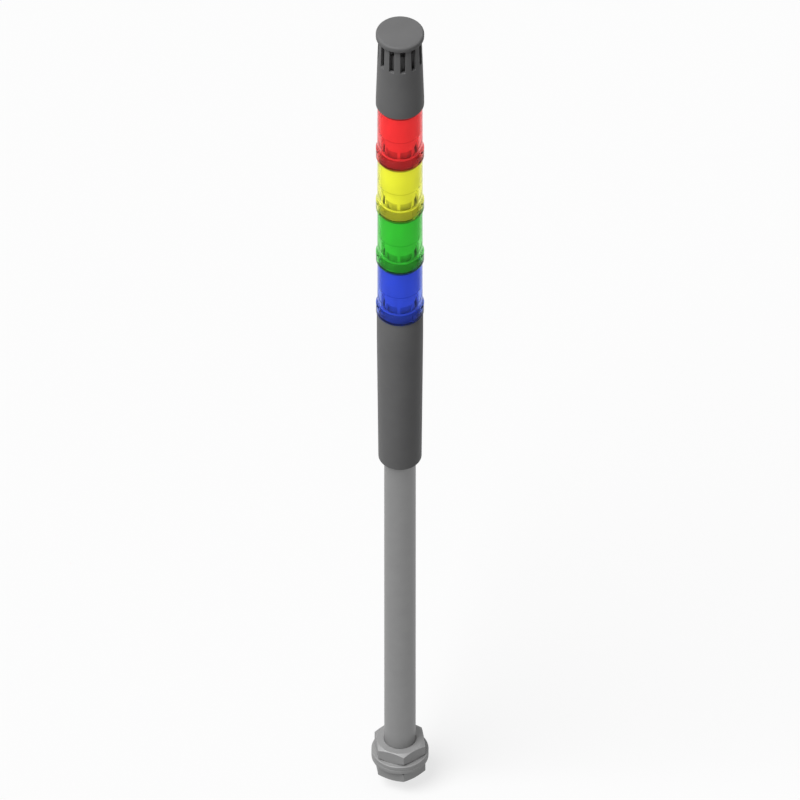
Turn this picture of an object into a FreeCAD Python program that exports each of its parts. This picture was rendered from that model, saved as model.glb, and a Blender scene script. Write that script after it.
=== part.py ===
import FreeCAD, Part
import math
import os

# Stack light: pole with two nuts, body tube, four lens tiers and a sounder.
# Millimetres, +Z up, origin at the centre of the pole's lower end.
# The front of the light faces -Y.

os.makedirs("parts", exist_ok=True)

# Pole
pole_dia = 19.8
pole_wall = 1.9
pole_length = 300.0
pole_end_chamfer = 0.8
pole_below_nut = 4.0
pole_in_body = 25.0

# Nuts and washers
nut_flats = 30.0
nut_height = 9.0
nut_face_inset = 0.4
nut_chamfer_deg = 30.0
nut_thread_gap = 0.05
nut_corner_deg = 30.0
washer_dia = 36.0
washer_gap = 0.6
washer_thickness = 3.0
washer_edge = 0.35

# Body tube: its rim round the lowest coupler, its ledge under that coupler's floor
body_length = 126.5
body_straight = 22.0
body_rim_wall = 1.75
body_ledge = 0.45
body_floor = 3.0
body_foot_round = 1.0
body_pole_gap = 0.1
bush_wall = 1.25
bush_lip = 2.0
bush_gap = 0.1

# Tier: the coloured lens with its collar
tier_height = 44.3
lens_dia_top = 28.06
lens_draft = 0.12
lens_rim_wall = 1.33
collar_reach = 0.85
collar_height = 7.0
collar_edge = 0.4
clear_band_wall = 2.45
clear_band_top = 21.9

# Tier: what is inside the lens
diffuser_wall = 1.0
diffuser_gap = 0.15
core_neck_gap = 0.65
core_wall = 1.5
core_foot_gap = 1.5
window_count = 6
window_foot = 3.0
window_top = 11.3
window_stem_deg = 11.4
window_stem_turn = 18.0
board_thickness = 1.0
board_edge_gap = 0.15
board_core_gap = 0.1
board_ledge_reach = 1.0
board_ledge_height = 0.8
led_count = 6
led_size = 1.3
led_height = 0.7

# Coupler: floor, spigot and bayonet neck
spigot_gap = 0.1
floor_thickness = 3.0
neck_step = 0.3
neck_wall = 1.9
neck_height = 6.0
neck_lead_in = 0.4
lug_count = 3
lug_turn = 90.0
lug_reach = 1.0
lug_width_deg = 16.0
lug_foot = 2.6
lug_height = 2.0

# Socket that the neck and its lugs turn in
twist_deg = 22.0
turn_gap = 0.2
lug_gap = 0.2
lug_gap_deg = 1.0
seal_thickness = 0.5
seal_width = 1.3
seal_gap = 0.1

# Contacts
contact_count = 4
contact_turn = 45.0
pad_inner = 4.4
pad_outer = 7.2
pad_thickness = 0.3
pad_width_deg = 52.0
spring_radius = 5.2
spring_thickness = 0.3
spring_width = 1.6
spring_foot = 1.4
spring_in_block = 2.5
spring_pad_gap = 0.1
block_foot = 2.0
block_top = 12.0
block_gap = 0.1
slot_gap = 0.05

# Terminal block under the lowest coupler
terminal_dia = 18.0
terminal_height = 14.0
wire_way_dia = 3.2
wire_way_radius = 5.6

# Sounder, as wide at its foot as a collar
sounder_height = 56.7
sounder_draft = 1.55
sounder_foot_band = 4.7
sounder_wall = 2.2
slot_count = 12
slot_width = 3.1
slot_height = 18.7
ledge_core_gap = 1.55
ledge_height = 2.4
ledge_flange = 1.5
ledge_flange_gap = 0.3
drum_below_top = 8.7
drum_plate = 1.5
sound_port_dia = 9.0
buzzer_height = 7.0
buzzer_gap = 0.15
driver_thickness = 1.2
cap_overhang = 1.55
cap_thickness = 3.9
cap_round = 1.5
cap_lower_edge = 0.3
cap_spigot = 3.2
cap_spigot_wall = 1.5
cap_spigot_gap = 0.15

# Overlap that a cutting or joining tool needs past a wall
past = 0.6

ORIGIN = FreeCAD.Vector(0, 0, 0)
UP = FreeCAD.Vector(0, 0, 1)

# Radii worked out from the sizes above
pole_r = pole_dia / 2
pole_bore_r = pole_r - pole_wall
lens_top_r = lens_dia_top / 2
lens_foot_r = lens_top_r + lens_draft
collar_r = lens_foot_r + collar_reach
clear_band_r = lens_foot_r - clear_band_wall
upper_bore_r = lens_top_r - lens_rim_wall
spigot_r = upper_bore_r - spigot_gap
neck_r = spigot_r - neck_step
neck_bore_r = neck_r - neck_wall
socket_r = neck_r + turn_gap
core_r = neck_bore_r - core_neck_gap
core_bore_r = core_r - core_wall
block_r = core_bore_r - block_gap
board_r = clear_band_r - board_edge_gap
board_bore_r = core_r + board_core_gap
body_wall = body_rim_wall + body_ledge
body_top_r = upper_bore_r + body_rim_wall
body_foot_r = pole_r + bush_gap + bush_wall + bush_gap + body_wall
sounder_foot_r = collar_r
sounder_top_r = sounder_foot_r - sounder_draft
sounder_top_bore_r = sounder_top_r - sounder_wall
cap_r = sounder_top_r + cap_overhang

# Heights above the plane that a tier or the sounder sits on
socket_top = neck_height + seal_thickness + seal_gap
board_foot = clear_band_top - board_thickness
floor_underside = tier_height - floor_thickness
ledge_top = socket_top + ledge_height
drum_top = sounder_height - drum_below_top
cap_top = sounder_height + cap_thickness


def revolved(points):
    """Solid of revolution about Z from a closed outline of radius and height."""
    corners = [FreeCAD.Vector(radius, 0, height) for radius, height in points]
    outline = Part.makePolygon(corners + corners[:1])
    return Part.Face(outline).revolve(ORIGIN, UP, 360)


def tube(outer_r, inner_r, low, high):
    """Ring of rectangular section."""
    return revolved([(inner_r, low), (outer_r, low), (outer_r, high), (inner_r, high)])


def disc(radius, low, high):
    """Plain round disc."""
    return Part.makeCylinder(radius, high - low, FreeCAD.Vector(0, 0, low))


def turned(shape, degrees):
    """Copy of a shape turned about Z."""
    copy = shape.copy()
    copy.rotate(ORIGIN, UP, degrees)
    return copy


def raised(shape, height):
    """Copy of a shape lifted along Z."""
    copy = shape.copy()
    copy.translate(FreeCAD.Vector(0, 0, height))
    return copy


def sector(inner_r, outer_r, low, high, start_deg, width_deg):
    """Part of a ring, from start_deg over width_deg."""
    corners = [
        FreeCAD.Vector(inner_r, 0, low),
        FreeCAD.Vector(outer_r, 0, low),
        FreeCAD.Vector(outer_r, 0, high),
        FreeCAD.Vector(inner_r, 0, high),
    ]
    face = Part.Face(Part.makePolygon(corners + corners[:1]))
    return turned(face.revolve(ORIGIN, UP, width_deg), start_deg)


def around(shape, count, first_deg=0.0):
    """Copies of a shape spaced evenly about Z."""
    return [turned(shape, first_deg + index * 360.0 / count) for index in range(count)]


def rims(shape, radius, height):
    """The circular edges of a shape at one radius and height."""
    found = []
    for edge in shape.Edges:
        curve = edge.Curve
        if isinstance(curve, Part.Circle):
            at_height = abs(curve.Center.z - height) < 1e-4
            if at_height and abs(curve.Radius - radius) < 1e-4:
                found.append(edge)
    return found


# Pole, nuts and washers


def make_pole():
    """Tube with a chamfered lower end, where its thread is cut."""
    return revolved([
        (pole_bore_r, 0),
        (pole_r - pole_end_chamfer, 0),
        (pole_r, pole_end_chamfer),
        (pole_r, pole_length),
        (pole_bore_r, pole_length),
    ])


def make_nut():
    """Hexagon nut whose corners are chamfered on both faces."""
    corner_r = nut_flats / 2 / math.cos(math.radians(30))
    corners = []
    for index in range(6):
        angle = math.radians(nut_corner_deg + 60 * index)
        corners.append(FreeCAD.Vector(corner_r * math.cos(angle), corner_r * math.sin(angle), 0))
    hexagon = Part.Face(Part.makePolygon(corners + corners[:1]))
    prism = hexagon.extrude(FreeCAD.Vector(0, 0, nut_height))
    face_r = nut_flats / 2 - nut_face_inset
    wide_r = corner_r + past
    drop = (wide_r - face_r) * math.tan(math.radians(nut_chamfer_deg))
    bore_r = pole_r + nut_thread_gap
    envelope = revolved([
        (bore_r, 0),
        (face_r, 0),
        (wide_r, drop),
        (wide_r, nut_height - drop),
        (face_r, nut_height),
        (bore_r, nut_height),
    ])
    return prism.common(envelope)


def make_washer():
    """Flat washer with a broken outer edge."""
    outer_r = washer_dia / 2
    bore_r = pole_r + washer_gap
    return revolved([
        (bore_r, 0),
        (outer_r - washer_edge, 0),
        (outer_r, washer_edge),
        (outer_r, washer_thickness - washer_edge),
        (outer_r - washer_edge, washer_thickness),
        (bore_r, washer_thickness),
    ])


# Body tube and what it holds


def body_outer_r(height):
    """Outer radius of the body tube at a height above its foot."""
    taper_height = body_length - body_straight
    share = min(height / taper_height, 1.0)
    return body_foot_r + (body_top_r - body_foot_r) * share


def make_body_tube():
    """Tapered housing, closed round the pole at its foot and open at the top."""
    taper_height = body_length - body_straight
    pole_hole_r = pole_r + body_pole_gap
    seat = body_length - floor_thickness
    shell = revolved([
        (pole_hole_r, 0),
        (body_foot_r, 0),
        (body_top_r, taper_height),
        (body_top_r, body_length),
        (upper_bore_r, body_length),
        (upper_bore_r, seat),
        (body_top_r - body_wall, seat),
        (body_top_r - body_wall, taper_height),
        (body_outer_r(body_floor) - body_wall, body_floor),
        (pole_hole_r, body_floor),
    ])
    return shell.makeFillet(body_foot_round, rims(shell, body_foot_r, 0))


def make_pole_bush():
    """Bush between pole and body tube, with a lip over the pole's end."""
    low = body_floor
    pole_end = pole_in_body
    high = pole_end + bush_lip
    bore_r = pole_r + bush_gap
    return revolved([
        (bore_r, low),
        (body_outer_r(low) - body_wall - bush_gap, low),
        (body_outer_r(high) - body_wall - bush_gap, high),
        (pole_bore_r, high),
        (pole_bore_r, pole_end),
        (bore_r, pole_end),
    ])


def make_terminal_block():
    """Round block with a wire way for each contact, hung under a floor."""
    block = disc(terminal_dia / 2, -floor_thickness - terminal_height, -floor_thickness)
    way = Part.makeCylinder(
        wire_way_dia / 2,
        terminal_height - past,
        FreeCAD.Vector(wire_way_radius, 0, -floor_thickness - terminal_height),
    )
    return block.cut(around(way, contact_count, contact_turn))


# Coupler: the floor of a tier's top with its bayonet neck, seat plane at height 0


def make_coupler():
    """Spigot and floor below the seat plane, neck and lugs above it."""
    body = revolved([
        (0, -floor_thickness),
        (spigot_r, -floor_thickness),
        (spigot_r, 0),
        (neck_r, 0),
        (neck_r, neck_height - neck_lead_in),
        (neck_r - neck_lead_in, neck_height),
        (neck_bore_r, neck_height),
        (neck_bore_r, 0),
        (0, 0),
    ])
    lug = sector(
        neck_r - past,
        neck_r + lug_reach,
        lug_foot,
        lug_foot + lug_height,
        -lug_width_deg / 2,
        lug_width_deg,
    )
    return body.fuse(around(lug, lug_count, lug_turn)).removeSplitter()


def bayonet_cuts():
    """Cutters for the entry and the locking run of each lug, in a socket."""
    outer_r = neck_r + lug_reach + turn_gap
    inner_r = socket_r - past
    half = lug_width_deg / 2 + lug_gap_deg
    run_low = lug_foot - lug_gap
    run_high = lug_foot + lug_height + lug_gap
    run = sector(inner_r, outer_r, run_low, run_high, -twist_deg - half, twist_deg + 2 * half)
    entry = sector(inner_r, outer_r, -past, run_high, -twist_deg - half, 2 * half)
    return around(run.fuse(entry), lug_count, lug_turn)


def make_seal():
    """Flat sealing ring on the end of the neck."""
    outer_r = neck_r - neck_lead_in
    return tube(outer_r, outer_r - seal_width, neck_height, neck_height + seal_thickness)


def make_contact_pads():
    """Contact pads on a coupler's floor, long enough for the twist."""
    start = twist_deg / 2 - pad_width_deg / 2
    pad = sector(pad_inner, pad_outer, 0, pad_thickness, start, pad_width_deg)
    return Part.makeCompound(around(pad, contact_count, contact_turn))


# Tier pieces, seat plane at height 0


def make_lens():
    """Coloured moulding: collar with bayonet socket, clear band, diffuser seat."""
    shell = revolved([
        (socket_r, 0),
        (collar_r - collar_edge, 0),
        (collar_r, collar_edge),
        (collar_r, collar_height - collar_edge),
        (collar_r - collar_edge, collar_height),
        (lens_foot_r, collar_height),
        (lens_top_r, tier_height),
        (upper_bore_r, tier_height),
        (upper_bore_r, clear_band_top),
        (clear_band_r, clear_band_top),
        (clear_band_r, socket_top),
        (socket_r, socket_top),
    ])
    return shell.cut(bayonet_cuts())


def make_diffuser():
    """Frosted sleeve between the lens's inner ledge and the coupler's floor."""
    outer_r = upper_bore_r - diffuser_gap
    return tube(outer_r, outer_r - diffuser_wall, clear_band_top, floor_underside)


def core_shell(top, flange_r, flange_low, flange_high):
    """Inner tube with one flange."""
    return revolved([
        (core_bore_r, core_foot_gap),
        (core_r, core_foot_gap),
        (core_r, flange_low),
        (flange_r, flange_low),
        (flange_r, flange_high),
        (core_r, flange_high),
        (core_r, top),
        (core_bore_r, top),
    ])


def make_core():
    """Inner tube that carries the board, with windows near its foot."""
    ledge_foot = board_foot - board_ledge_height
    shell = core_shell(floor_underside, core_r + board_ledge_reach, ledge_foot, board_foot)
    pitch = 360.0 / window_count
    window = sector(
        core_bore_r - past,
        core_r + past,
        window_foot,
        window_top,
        window_stem_deg / 2,
        pitch - window_stem_deg,
    )
    return shell.cut(around(window, window_count, window_stem_turn))


def make_contact_block():
    """Plug in the core's foot with a slot for each contact spring."""
    block = disc(block_r, block_foot, block_top)
    slot = Part.makeBox(
        spring_thickness + 2 * slot_gap,
        spring_width + 2 * slot_gap,
        spring_in_block + past,
        FreeCAD.Vector(spring_radius - slot_gap, -spring_width / 2 - slot_gap, block_foot - past),
    )
    return block.cut(around(slot, contact_count, contact_turn))


def make_contact_springs():
    """Leaf contacts, each with its foot just above a pad."""
    foot = pad_thickness + spring_pad_gap
    inner = spring_radius
    outline = [
        (inner, foot),
        (inner + spring_foot, foot),
        (inner + spring_foot, foot + spring_thickness),
        (inner + spring_thickness, foot + spring_thickness),
        (inner + spring_thickness, block_foot + spring_in_block),
        (inner, block_foot + spring_in_block),
    ]
    corners = [FreeCAD.Vector(x, -spring_width / 2, z) for x, z in outline]
    face = Part.Face(Part.makePolygon(corners + corners[:1]))
    leaf = face.extrude(FreeCAD.Vector(0, spring_width, 0))
    return Part.makeCompound(around(leaf, contact_count, contact_turn))


def make_led_board():
    """Ring-shaped board on the core's ledge, level with the diffuser's foot."""
    return tube(board_r, board_bore_r, board_foot, clear_band_top)


def make_leds():
    """The chips on a ring-shaped board."""
    middle_r = (board_r + board_bore_r) / 2
    corner = FreeCAD.Vector(middle_r - led_size / 2, -led_size / 2, clear_band_top)
    chip = Part.makeBox(led_size, led_size, led_height, corner)
    return Part.makeCompound(around(chip, led_count))


# Sounder pieces, seat plane at height 0


def sounder_outer_r(height):
    """Outer radius of the sounder housing at a height above its foot."""
    share = (height - sounder_foot_band) / (sounder_height - sounder_foot_band)
    return sounder_foot_r - sounder_draft * max(share, 0.0)


def make_sounder_housing():
    """Tapered moulding with a bayonet socket, an inner ledge and open-topped slots."""
    ledge_r = core_r + ledge_core_gap
    shell = revolved([
        (socket_r, 0),
        (sounder_foot_r, 0),
        (sounder_foot_r, sounder_foot_band),
        (sounder_top_r, sounder_height),
        (sounder_top_bore_r, sounder_height),
        (sounder_outer_r(ledge_top) - sounder_wall, ledge_top),
        (ledge_r, ledge_top),
        (ledge_r, socket_top),
        (socket_r, socket_top),
    ])
    slot = Part.makeBox(
        sounder_foot_r,
        slot_width,
        slot_height + past,
        FreeCAD.Vector(sounder_top_r / 2, -slot_width / 2, sounder_height - slot_height),
    )
    cutters = around(slot, slot_count) + bayonet_cuts()
    return shell.cut(cutters)


def make_sounder_core():
    """Drum on the housing's ledge, with the contact tube below and a sound port above."""
    flange_r = sounder_outer_r(ledge_top) - sounder_wall - ledge_flange_gap
    shell = core_shell(drum_top, flange_r, ledge_top, ledge_top + ledge_flange)
    plate = tube(core_r, sound_port_dia / 2, drum_top - drum_plate, drum_top)
    return shell.fuse(plate).removeSplitter()


def make_driver_board():
    """Round board on the sounder's contact block."""
    return disc(block_r, block_top, block_top + driver_thickness)


def make_buzzer():
    """Round buzzer under the drum's plate, with its own sound hole."""
    high = drum_top - drum_plate
    return disc(core_bore_r - buzzer_gap, high - buzzer_height, high)


def make_cap():
    """Round cap that overhangs the housing, with a ring that plugs into it."""
    ring_r = sounder_top_bore_r - cap_spigot_gap
    body = revolved([
        (0, sounder_height),
        (ring_r - cap_spigot_wall, sounder_height),
        (ring_r - cap_spigot_wall, sounder_height - cap_spigot),
        (ring_r, sounder_height - cap_spigot),
        (ring_r, sounder_height),
        (cap_r - cap_lower_edge, sounder_height),
        (cap_r, sounder_height + cap_lower_edge),
        (cap_r, cap_top),
        (0, cap_top),
    ])
    return body.makeFillet(cap_round, rims(body, cap_r, cap_top))


# Heights at which the pieces stand

lower_nut_foot = pole_below_nut
lower_washer_foot = lower_nut_foot + nut_height
upper_washer_foot = lower_washer_foot + washer_thickness
upper_nut_foot = upper_washer_foot + washer_thickness
body_foot = pole_length - pole_in_body
body_top = body_foot + body_length
tier_names = ["blue", "green", "yellow", "red"]
sounder_foot = body_top + tier_height * len(tier_names)


def build_stack():
    """Every piece of the light by its name, in place."""
    pieces = {
        "pole": make_pole(),
        "lower_nut": raised(make_nut(), lower_nut_foot),
        "lower_washer": raised(make_washer(), lower_washer_foot),
        "upper_washer": raised(make_washer(), upper_washer_foot),
        "upper_nut": raised(make_nut(), upper_nut_foot),
        "body_tube": raised(make_body_tube(), body_foot),
        "pole_bush": raised(make_pole_bush(), body_foot),
        "terminal_block": raised(make_terminal_block(), body_top),
    }
    for index, name in enumerate(["tube"] + tier_names):
        seat = body_top + tier_height * index
        pieces["coupler_" + name] = raised(make_coupler(), seat)
        pieces["seal_" + name] = raised(make_seal(), seat)
        pieces["contact_pads_" + name] = raised(make_contact_pads(), seat)
    for index, name in enumerate(tier_names + ["sounder"]):
        seat = body_top + tier_height * index
        pieces["contact_block_" + name] = raised(make_contact_block(), seat)
        pieces["contact_springs_" + name] = raised(make_contact_springs(), seat)
    for index, name in enumerate(tier_names):
        seat = body_top + tier_height * index
        pieces["lens_" + name] = raised(make_lens(), seat)
        pieces["diffuser_" + name] = raised(make_diffuser(), seat)
        pieces["core_" + name] = raised(make_core(), seat)
        pieces["led_board_" + name] = raised(make_led_board(), seat)
        pieces["leds_" + name] = raised(make_leds(), seat)
    pieces["sounder_housing"] = raised(make_sounder_housing(), sounder_foot)
    pieces["sounder_core"] = raised(make_sounder_core(), sounder_foot)
    pieces["sounder_board"] = raised(make_driver_board(), sounder_foot)
    pieces["sounder_buzzer"] = raised(make_buzzer(), sounder_foot)
    pieces["sounder_cap"] = raised(make_cap(), sounder_foot)
    return pieces


for piece_name, piece_shape in build_stack().items():
    piece_shape.exportStep("parts/" + piece_name + ".step")
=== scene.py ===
"""Looks of the stack light: finer pieces, finishes, light and camera round the fixed frame."""
import functools
import logging
import math
from collections.abc import Callable, Sequence
from dataclasses import dataclass
from enum import Enum
from typing import Any

import bpy
from bpy.types import Material, Node, NodeSocket, NodeTree, Object
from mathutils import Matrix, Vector


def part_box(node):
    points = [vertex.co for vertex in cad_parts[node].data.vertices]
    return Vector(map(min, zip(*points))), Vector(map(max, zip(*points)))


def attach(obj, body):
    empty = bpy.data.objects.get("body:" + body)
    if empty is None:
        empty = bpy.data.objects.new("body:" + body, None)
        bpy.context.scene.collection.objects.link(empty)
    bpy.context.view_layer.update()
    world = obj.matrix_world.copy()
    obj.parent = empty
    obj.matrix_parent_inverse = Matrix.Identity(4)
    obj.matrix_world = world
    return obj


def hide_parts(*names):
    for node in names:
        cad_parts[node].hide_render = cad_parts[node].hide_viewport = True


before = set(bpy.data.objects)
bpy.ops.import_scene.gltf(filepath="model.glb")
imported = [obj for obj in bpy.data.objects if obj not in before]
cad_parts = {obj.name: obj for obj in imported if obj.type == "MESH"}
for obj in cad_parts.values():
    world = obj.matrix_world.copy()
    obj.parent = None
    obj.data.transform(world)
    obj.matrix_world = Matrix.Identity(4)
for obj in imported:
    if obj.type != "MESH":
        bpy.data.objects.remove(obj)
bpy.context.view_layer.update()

logger = logging.getLogger("stack_light")

MM = 0.001
FULL_TURN = 2 * math.pi
COLUMNS = 144
CLOSEST_COLUMNS = math.radians(1.2)
SHARP_ANGLE = math.radians(32)
BLUNT_ANGLE = math.radians(40)
LUG_TURNS = (90.0, 210.0, 330.0)
WHITE = (1.0, 1.0, 1.0, 1.0)

Point = tuple[float, float]
Place = tuple[float, float, float]
Colour = tuple[float, float, float]
Line = Callable[[float], float]


class TierColour(Enum):
    """Colours of the lens tiers, from the lowest up."""

    BLUE = "blue"
    GREEN = "green"
    YELLOW = "yellow"
    RED = "red"


class Marks(Enum):
    """Which way the fine marks of a metal piece run: share of the turned pattern."""

    ALONG_AXIS = 0.0
    AROUND_AXIS = 1.0


# Meshes


def new_object(name: str, data: bpy.types.ID) -> Object:
    """Puts a new object into the scene.

    Args:
        name: Name of the object.
        data: Its mesh, lamp or camera.

    Returns:
        The object.
    """
    obj = bpy.data.objects.new(name, data)
    bpy.context.scene.collection.objects.link(obj)
    return obj


def mesh_object(
    name: str,
    corners: Sequence[Sequence[float]],
    faces: Sequence[Sequence[int]] = (),
    edges: Sequence[Sequence[int]] = (),
) -> Object:
    """Makes an object from corners and faces, smoothly shaded.

    Args:
        name: Name of the piece.
        corners: Places in metres.
        faces: Corner numbers of each face, seen from outside.
        edges: Corner numbers of edges that belong to no face.

    Returns:
        The new object.
    """
    mesh = bpy.data.meshes.new(name)
    mesh.from_pydata(corners, edges, faces)
    mesh.validate()
    mesh.shade_smooth()
    return new_object(name, mesh)


def polar(radius: float, angle: float, height: float) -> Place:
    """Place at a radius, an angle and a height about Z."""
    return radius * math.cos(angle), radius * math.sin(angle), height


def corner_ring(radius_at: Line, height_at: Line, count: int) -> list[Place]:
    """Ring of corners about Z, from the radius and height in each direction."""
    angles = [FULL_TURN * index / count for index in range(count)]
    return [polar(radius_at(angle), angle, height_at(angle)) for angle in angles]


def lofted(name: str, rings: Sequence[Sequence[Place]], tip: Place | None = None) -> Object:
    """Closed skin over rings of corners.

    Args:
        name: Name of the piece.
        rings: Rings with the same number of corners.
        tip: Corner above the last ring, with a flat foot under the first one. Without a
            tip the last ring meets the first.

    Returns:
        The new object.
    """
    count = len(rings[0])
    corners = [corner for ring in rings for corner in ring]
    starts = list(range(0, len(corners), count))
    pairs = list(zip(starts, starts[1:]))
    steps = [(index, (index + 1) % count) for index in range(count)]
    if tip is None:
        pairs.append((starts[-1], 0))
    faces = [[low + a, low + b, high + b, high + a] for low, high in pairs for a, b in steps]
    if tip is not None:
        faces += [[starts[-1] + a, starts[-1] + b, len(corners)] for a, b in steps]
        faces.append(list(reversed(range(count))))
        corners.append(tip)
    return mesh_object(name, corners, faces)


def arc(corner: Point, radius: float, start_deg: float, steps: int = 6) -> list[Point]:
    """Quarter round inside a right-angled outline corner.

    Args:
        corner: The sharp corner, as radius and height.
        radius: Radius of the round.
        start_deg: Direction from the round's centre to its first point.
        steps: Number of straight stretches.

    Returns:
        Points of the round, a quarter turn anticlockwise from start_deg.
    """
    middle = math.radians(start_deg + 45)
    centre_r = corner[0] - math.copysign(radius, math.cos(middle))
    centre_z = corner[1] - math.copysign(radius, math.sin(middle))
    angles = [math.radians(start_deg + 90 * step / steps) for step in range(steps + 1)]
    return [(centre_r + radius * math.cos(a), centre_z + radius * math.sin(a)) for a in angles]


def level(value: float) -> Line:
    """Line that has the same value everywhere."""
    return lambda _at: value


def tapered(*points: Point) -> Line:
    """Radius line through some points, straight between them.

    Args:
        points: Height and radius of each point, from the lowest up.

    Returns:
        The line, level below the first point and above the last.
    """

    def line(height: float) -> float:
        """Radius of the line.

        Args:
            height: Height that is asked for.

        Returns:
            The radius there.
        """
        if height <= points[0][0]:
            return points[0][1]
        for (low, low_radius), (high, high_radius) in zip(points, points[1:]):
            if height <= high:
                return low_radius + (high_radius - low_radius) * (height - low) / (high - low)
        return points[-1][1]

    return line


def signed_degrees(angle: float) -> float:
    """The same angle, between -180 and 180 degrees."""
    return (angle + 180) % 360 - 180


def near_any(degrees: float, middles: Sequence[float], half: float) -> bool:
    """Whether a direction is less than half a width from one of some middles."""
    return any(abs(signed_degrees(degrees - middle)) < half for middle in middles)


def both_sides(middles: Sequence[float], half: float) -> list[float]:
    """Directions that are half a width to each side of some middles."""
    return [middle + side * half for middle in middles for side in (-1, 1)]


@dataclass(frozen=True)
class Column:
    """Edge between two columns of cells: a plane along the ray at centre, offset from it."""

    centre: float
    offset: float = 0.0

    def angle(self, radius: float) -> float:
        """Angle at which the edge crosses a radius."""
        return self.centre + (math.asin(self.offset / radius) if self.offset else 0.0)


EVEN_COLUMNS = [Column(FULL_TURN * index / COLUMNS) for index in range(COLUMNS)]


def with_radial(columns: Sequence[Column], degrees: Sequence[float], radius: float) -> list[Column]:
    """Adds radial edges to a set of columns, in place of radial ones that are too close.

    Args:
        columns: The edges so far.
        degrees: Directions of the added edges.
        radius: Radius at which the order is judged.

    Returns:
        All edges, in order round the axis.
    """
    added = [Column(math.radians(direction) % FULL_TURN) for direction in degrees]

    def gap(column: Column) -> float:
        """Angle from an edge to the nearest added one."""
        here = column.angle(radius)
        return min(abs((here - new.centre + math.pi) % FULL_TURN - math.pi) for new in added)

    kept = [column for column in columns if column.offset or gap(column) > CLOSEST_COLUMNS]
    return sorted(kept + added, key=lambda column: column.angle(radius) % FULL_TURN)


@dataclass
class CellRing:
    """A ring-shaped grid of cells, some filled. Its mesh is the skin of the filled ones.

    Radius lines count outwards, heights upwards from the foot and columns round the axis.
    filled is asked for a cell's layer, middle direction in degrees and middle height.
    """

    name: str
    foot: float
    radii: Sequence[Line]
    heights: Sequence[float]
    columns: Sequence[Column]
    filled: Callable[[int, float, float], bool]

    def key(self, i: int, j: int, k: int) -> tuple[int, int, int]:
        """Lines of a corner. On the axis all columns meet in the first one."""
        return i, j % len(self.columns) if self.radii[i](self.heights[k]) > 0 else 0, k

    def place(self, i: int, j: int, k: int) -> Place:
        """Place of the corner on a radius line, a column and a height."""
        radius = self.radii[i](self.heights[k])
        return polar(radius, self.columns[j].angle(radius), self.foot + self.heights[k])

    def build(self) -> Object:
        """Makes the skin.

        Returns:
            The new object.
        """
        layers, rows, count = len(self.radii) - 1, len(self.heights) - 1, len(self.columns)
        radius = self.radii[-1](self.heights[0])
        starts = [column.angle(radius) for column in self.columns]
        widths = [(end - start) % FULL_TURN for start, end in zip(starts, starts[1:] + starts[:1])]
        middles = [math.degrees(start + width / 2) % 360 for start, width in zip(starts, widths)]
        solid = {
            (i, j, k)
            for k in range(rows)
            for i in range(layers)
            for j in range(count)
            if self.filled(i, middles[j], (self.heights[k] + self.heights[k + 1]) / 2)
        }
        sides = {
            (1, 0, 0): ((1, 0, 0), (1, 1, 0), (1, 1, 1), (1, 0, 1)),
            (-1, 0, 0): ((0, 0, 0), (0, 0, 1), (0, 1, 1), (0, 1, 0)),
            (0, 1, 0): ((0, 1, 0), (0, 1, 1), (1, 1, 1), (1, 1, 0)),
            (0, -1, 0): ((0, 0, 0), (1, 0, 0), (1, 0, 1), (0, 0, 1)),
            (0, 0, 1): ((0, 0, 1), (1, 0, 1), (1, 1, 1), (0, 1, 1)),
            (0, 0, -1): ((0, 0, 0), (0, 1, 0), (1, 1, 0), (1, 0, 0)),
        }
        loops = [
            [self.key(i + a, j + b, k + c) for a, b, c in loop]
            for i, j, k in sorted(solid)
            for (di, dj, dk), loop in sides.items()
            if (i + di, (j + dj) % count, k + dk) not in solid
        ]
        keys = dict.fromkeys(key for loop in loops for key in loop)
        numbers = {key: number for number, key in enumerate(keys)}
        faces = [list(dict.fromkeys(numbers[key] for key in loop)) for loop in loops]
        corners = [self.place(*key) for key in keys]
        return mesh_object(self.name, corners, [face for face in faces if len(face) > 2])


def round_edges(obj: Object, width: float, segments: int = 2, from_angle: float = SHARP_ANGLE) -> None:
    """Rounds the sharp edges of a piece and keeps its flat faces flat in the light.

    Args:
        obj: The piece.
        width: How far the round reaches from the edge.
        segments: Number of faces across the round.
        from_angle: Least angle of an edge that counts as sharp.
    """
    bevel = obj.modifiers.new("rounded_edges", "BEVEL")
    bevel.width = width
    bevel.segments = segments
    bevel.limit_method = "ANGLE"
    bevel.angle_limit = from_angle
    bevel.harden_normals = True


# Node trees


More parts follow.
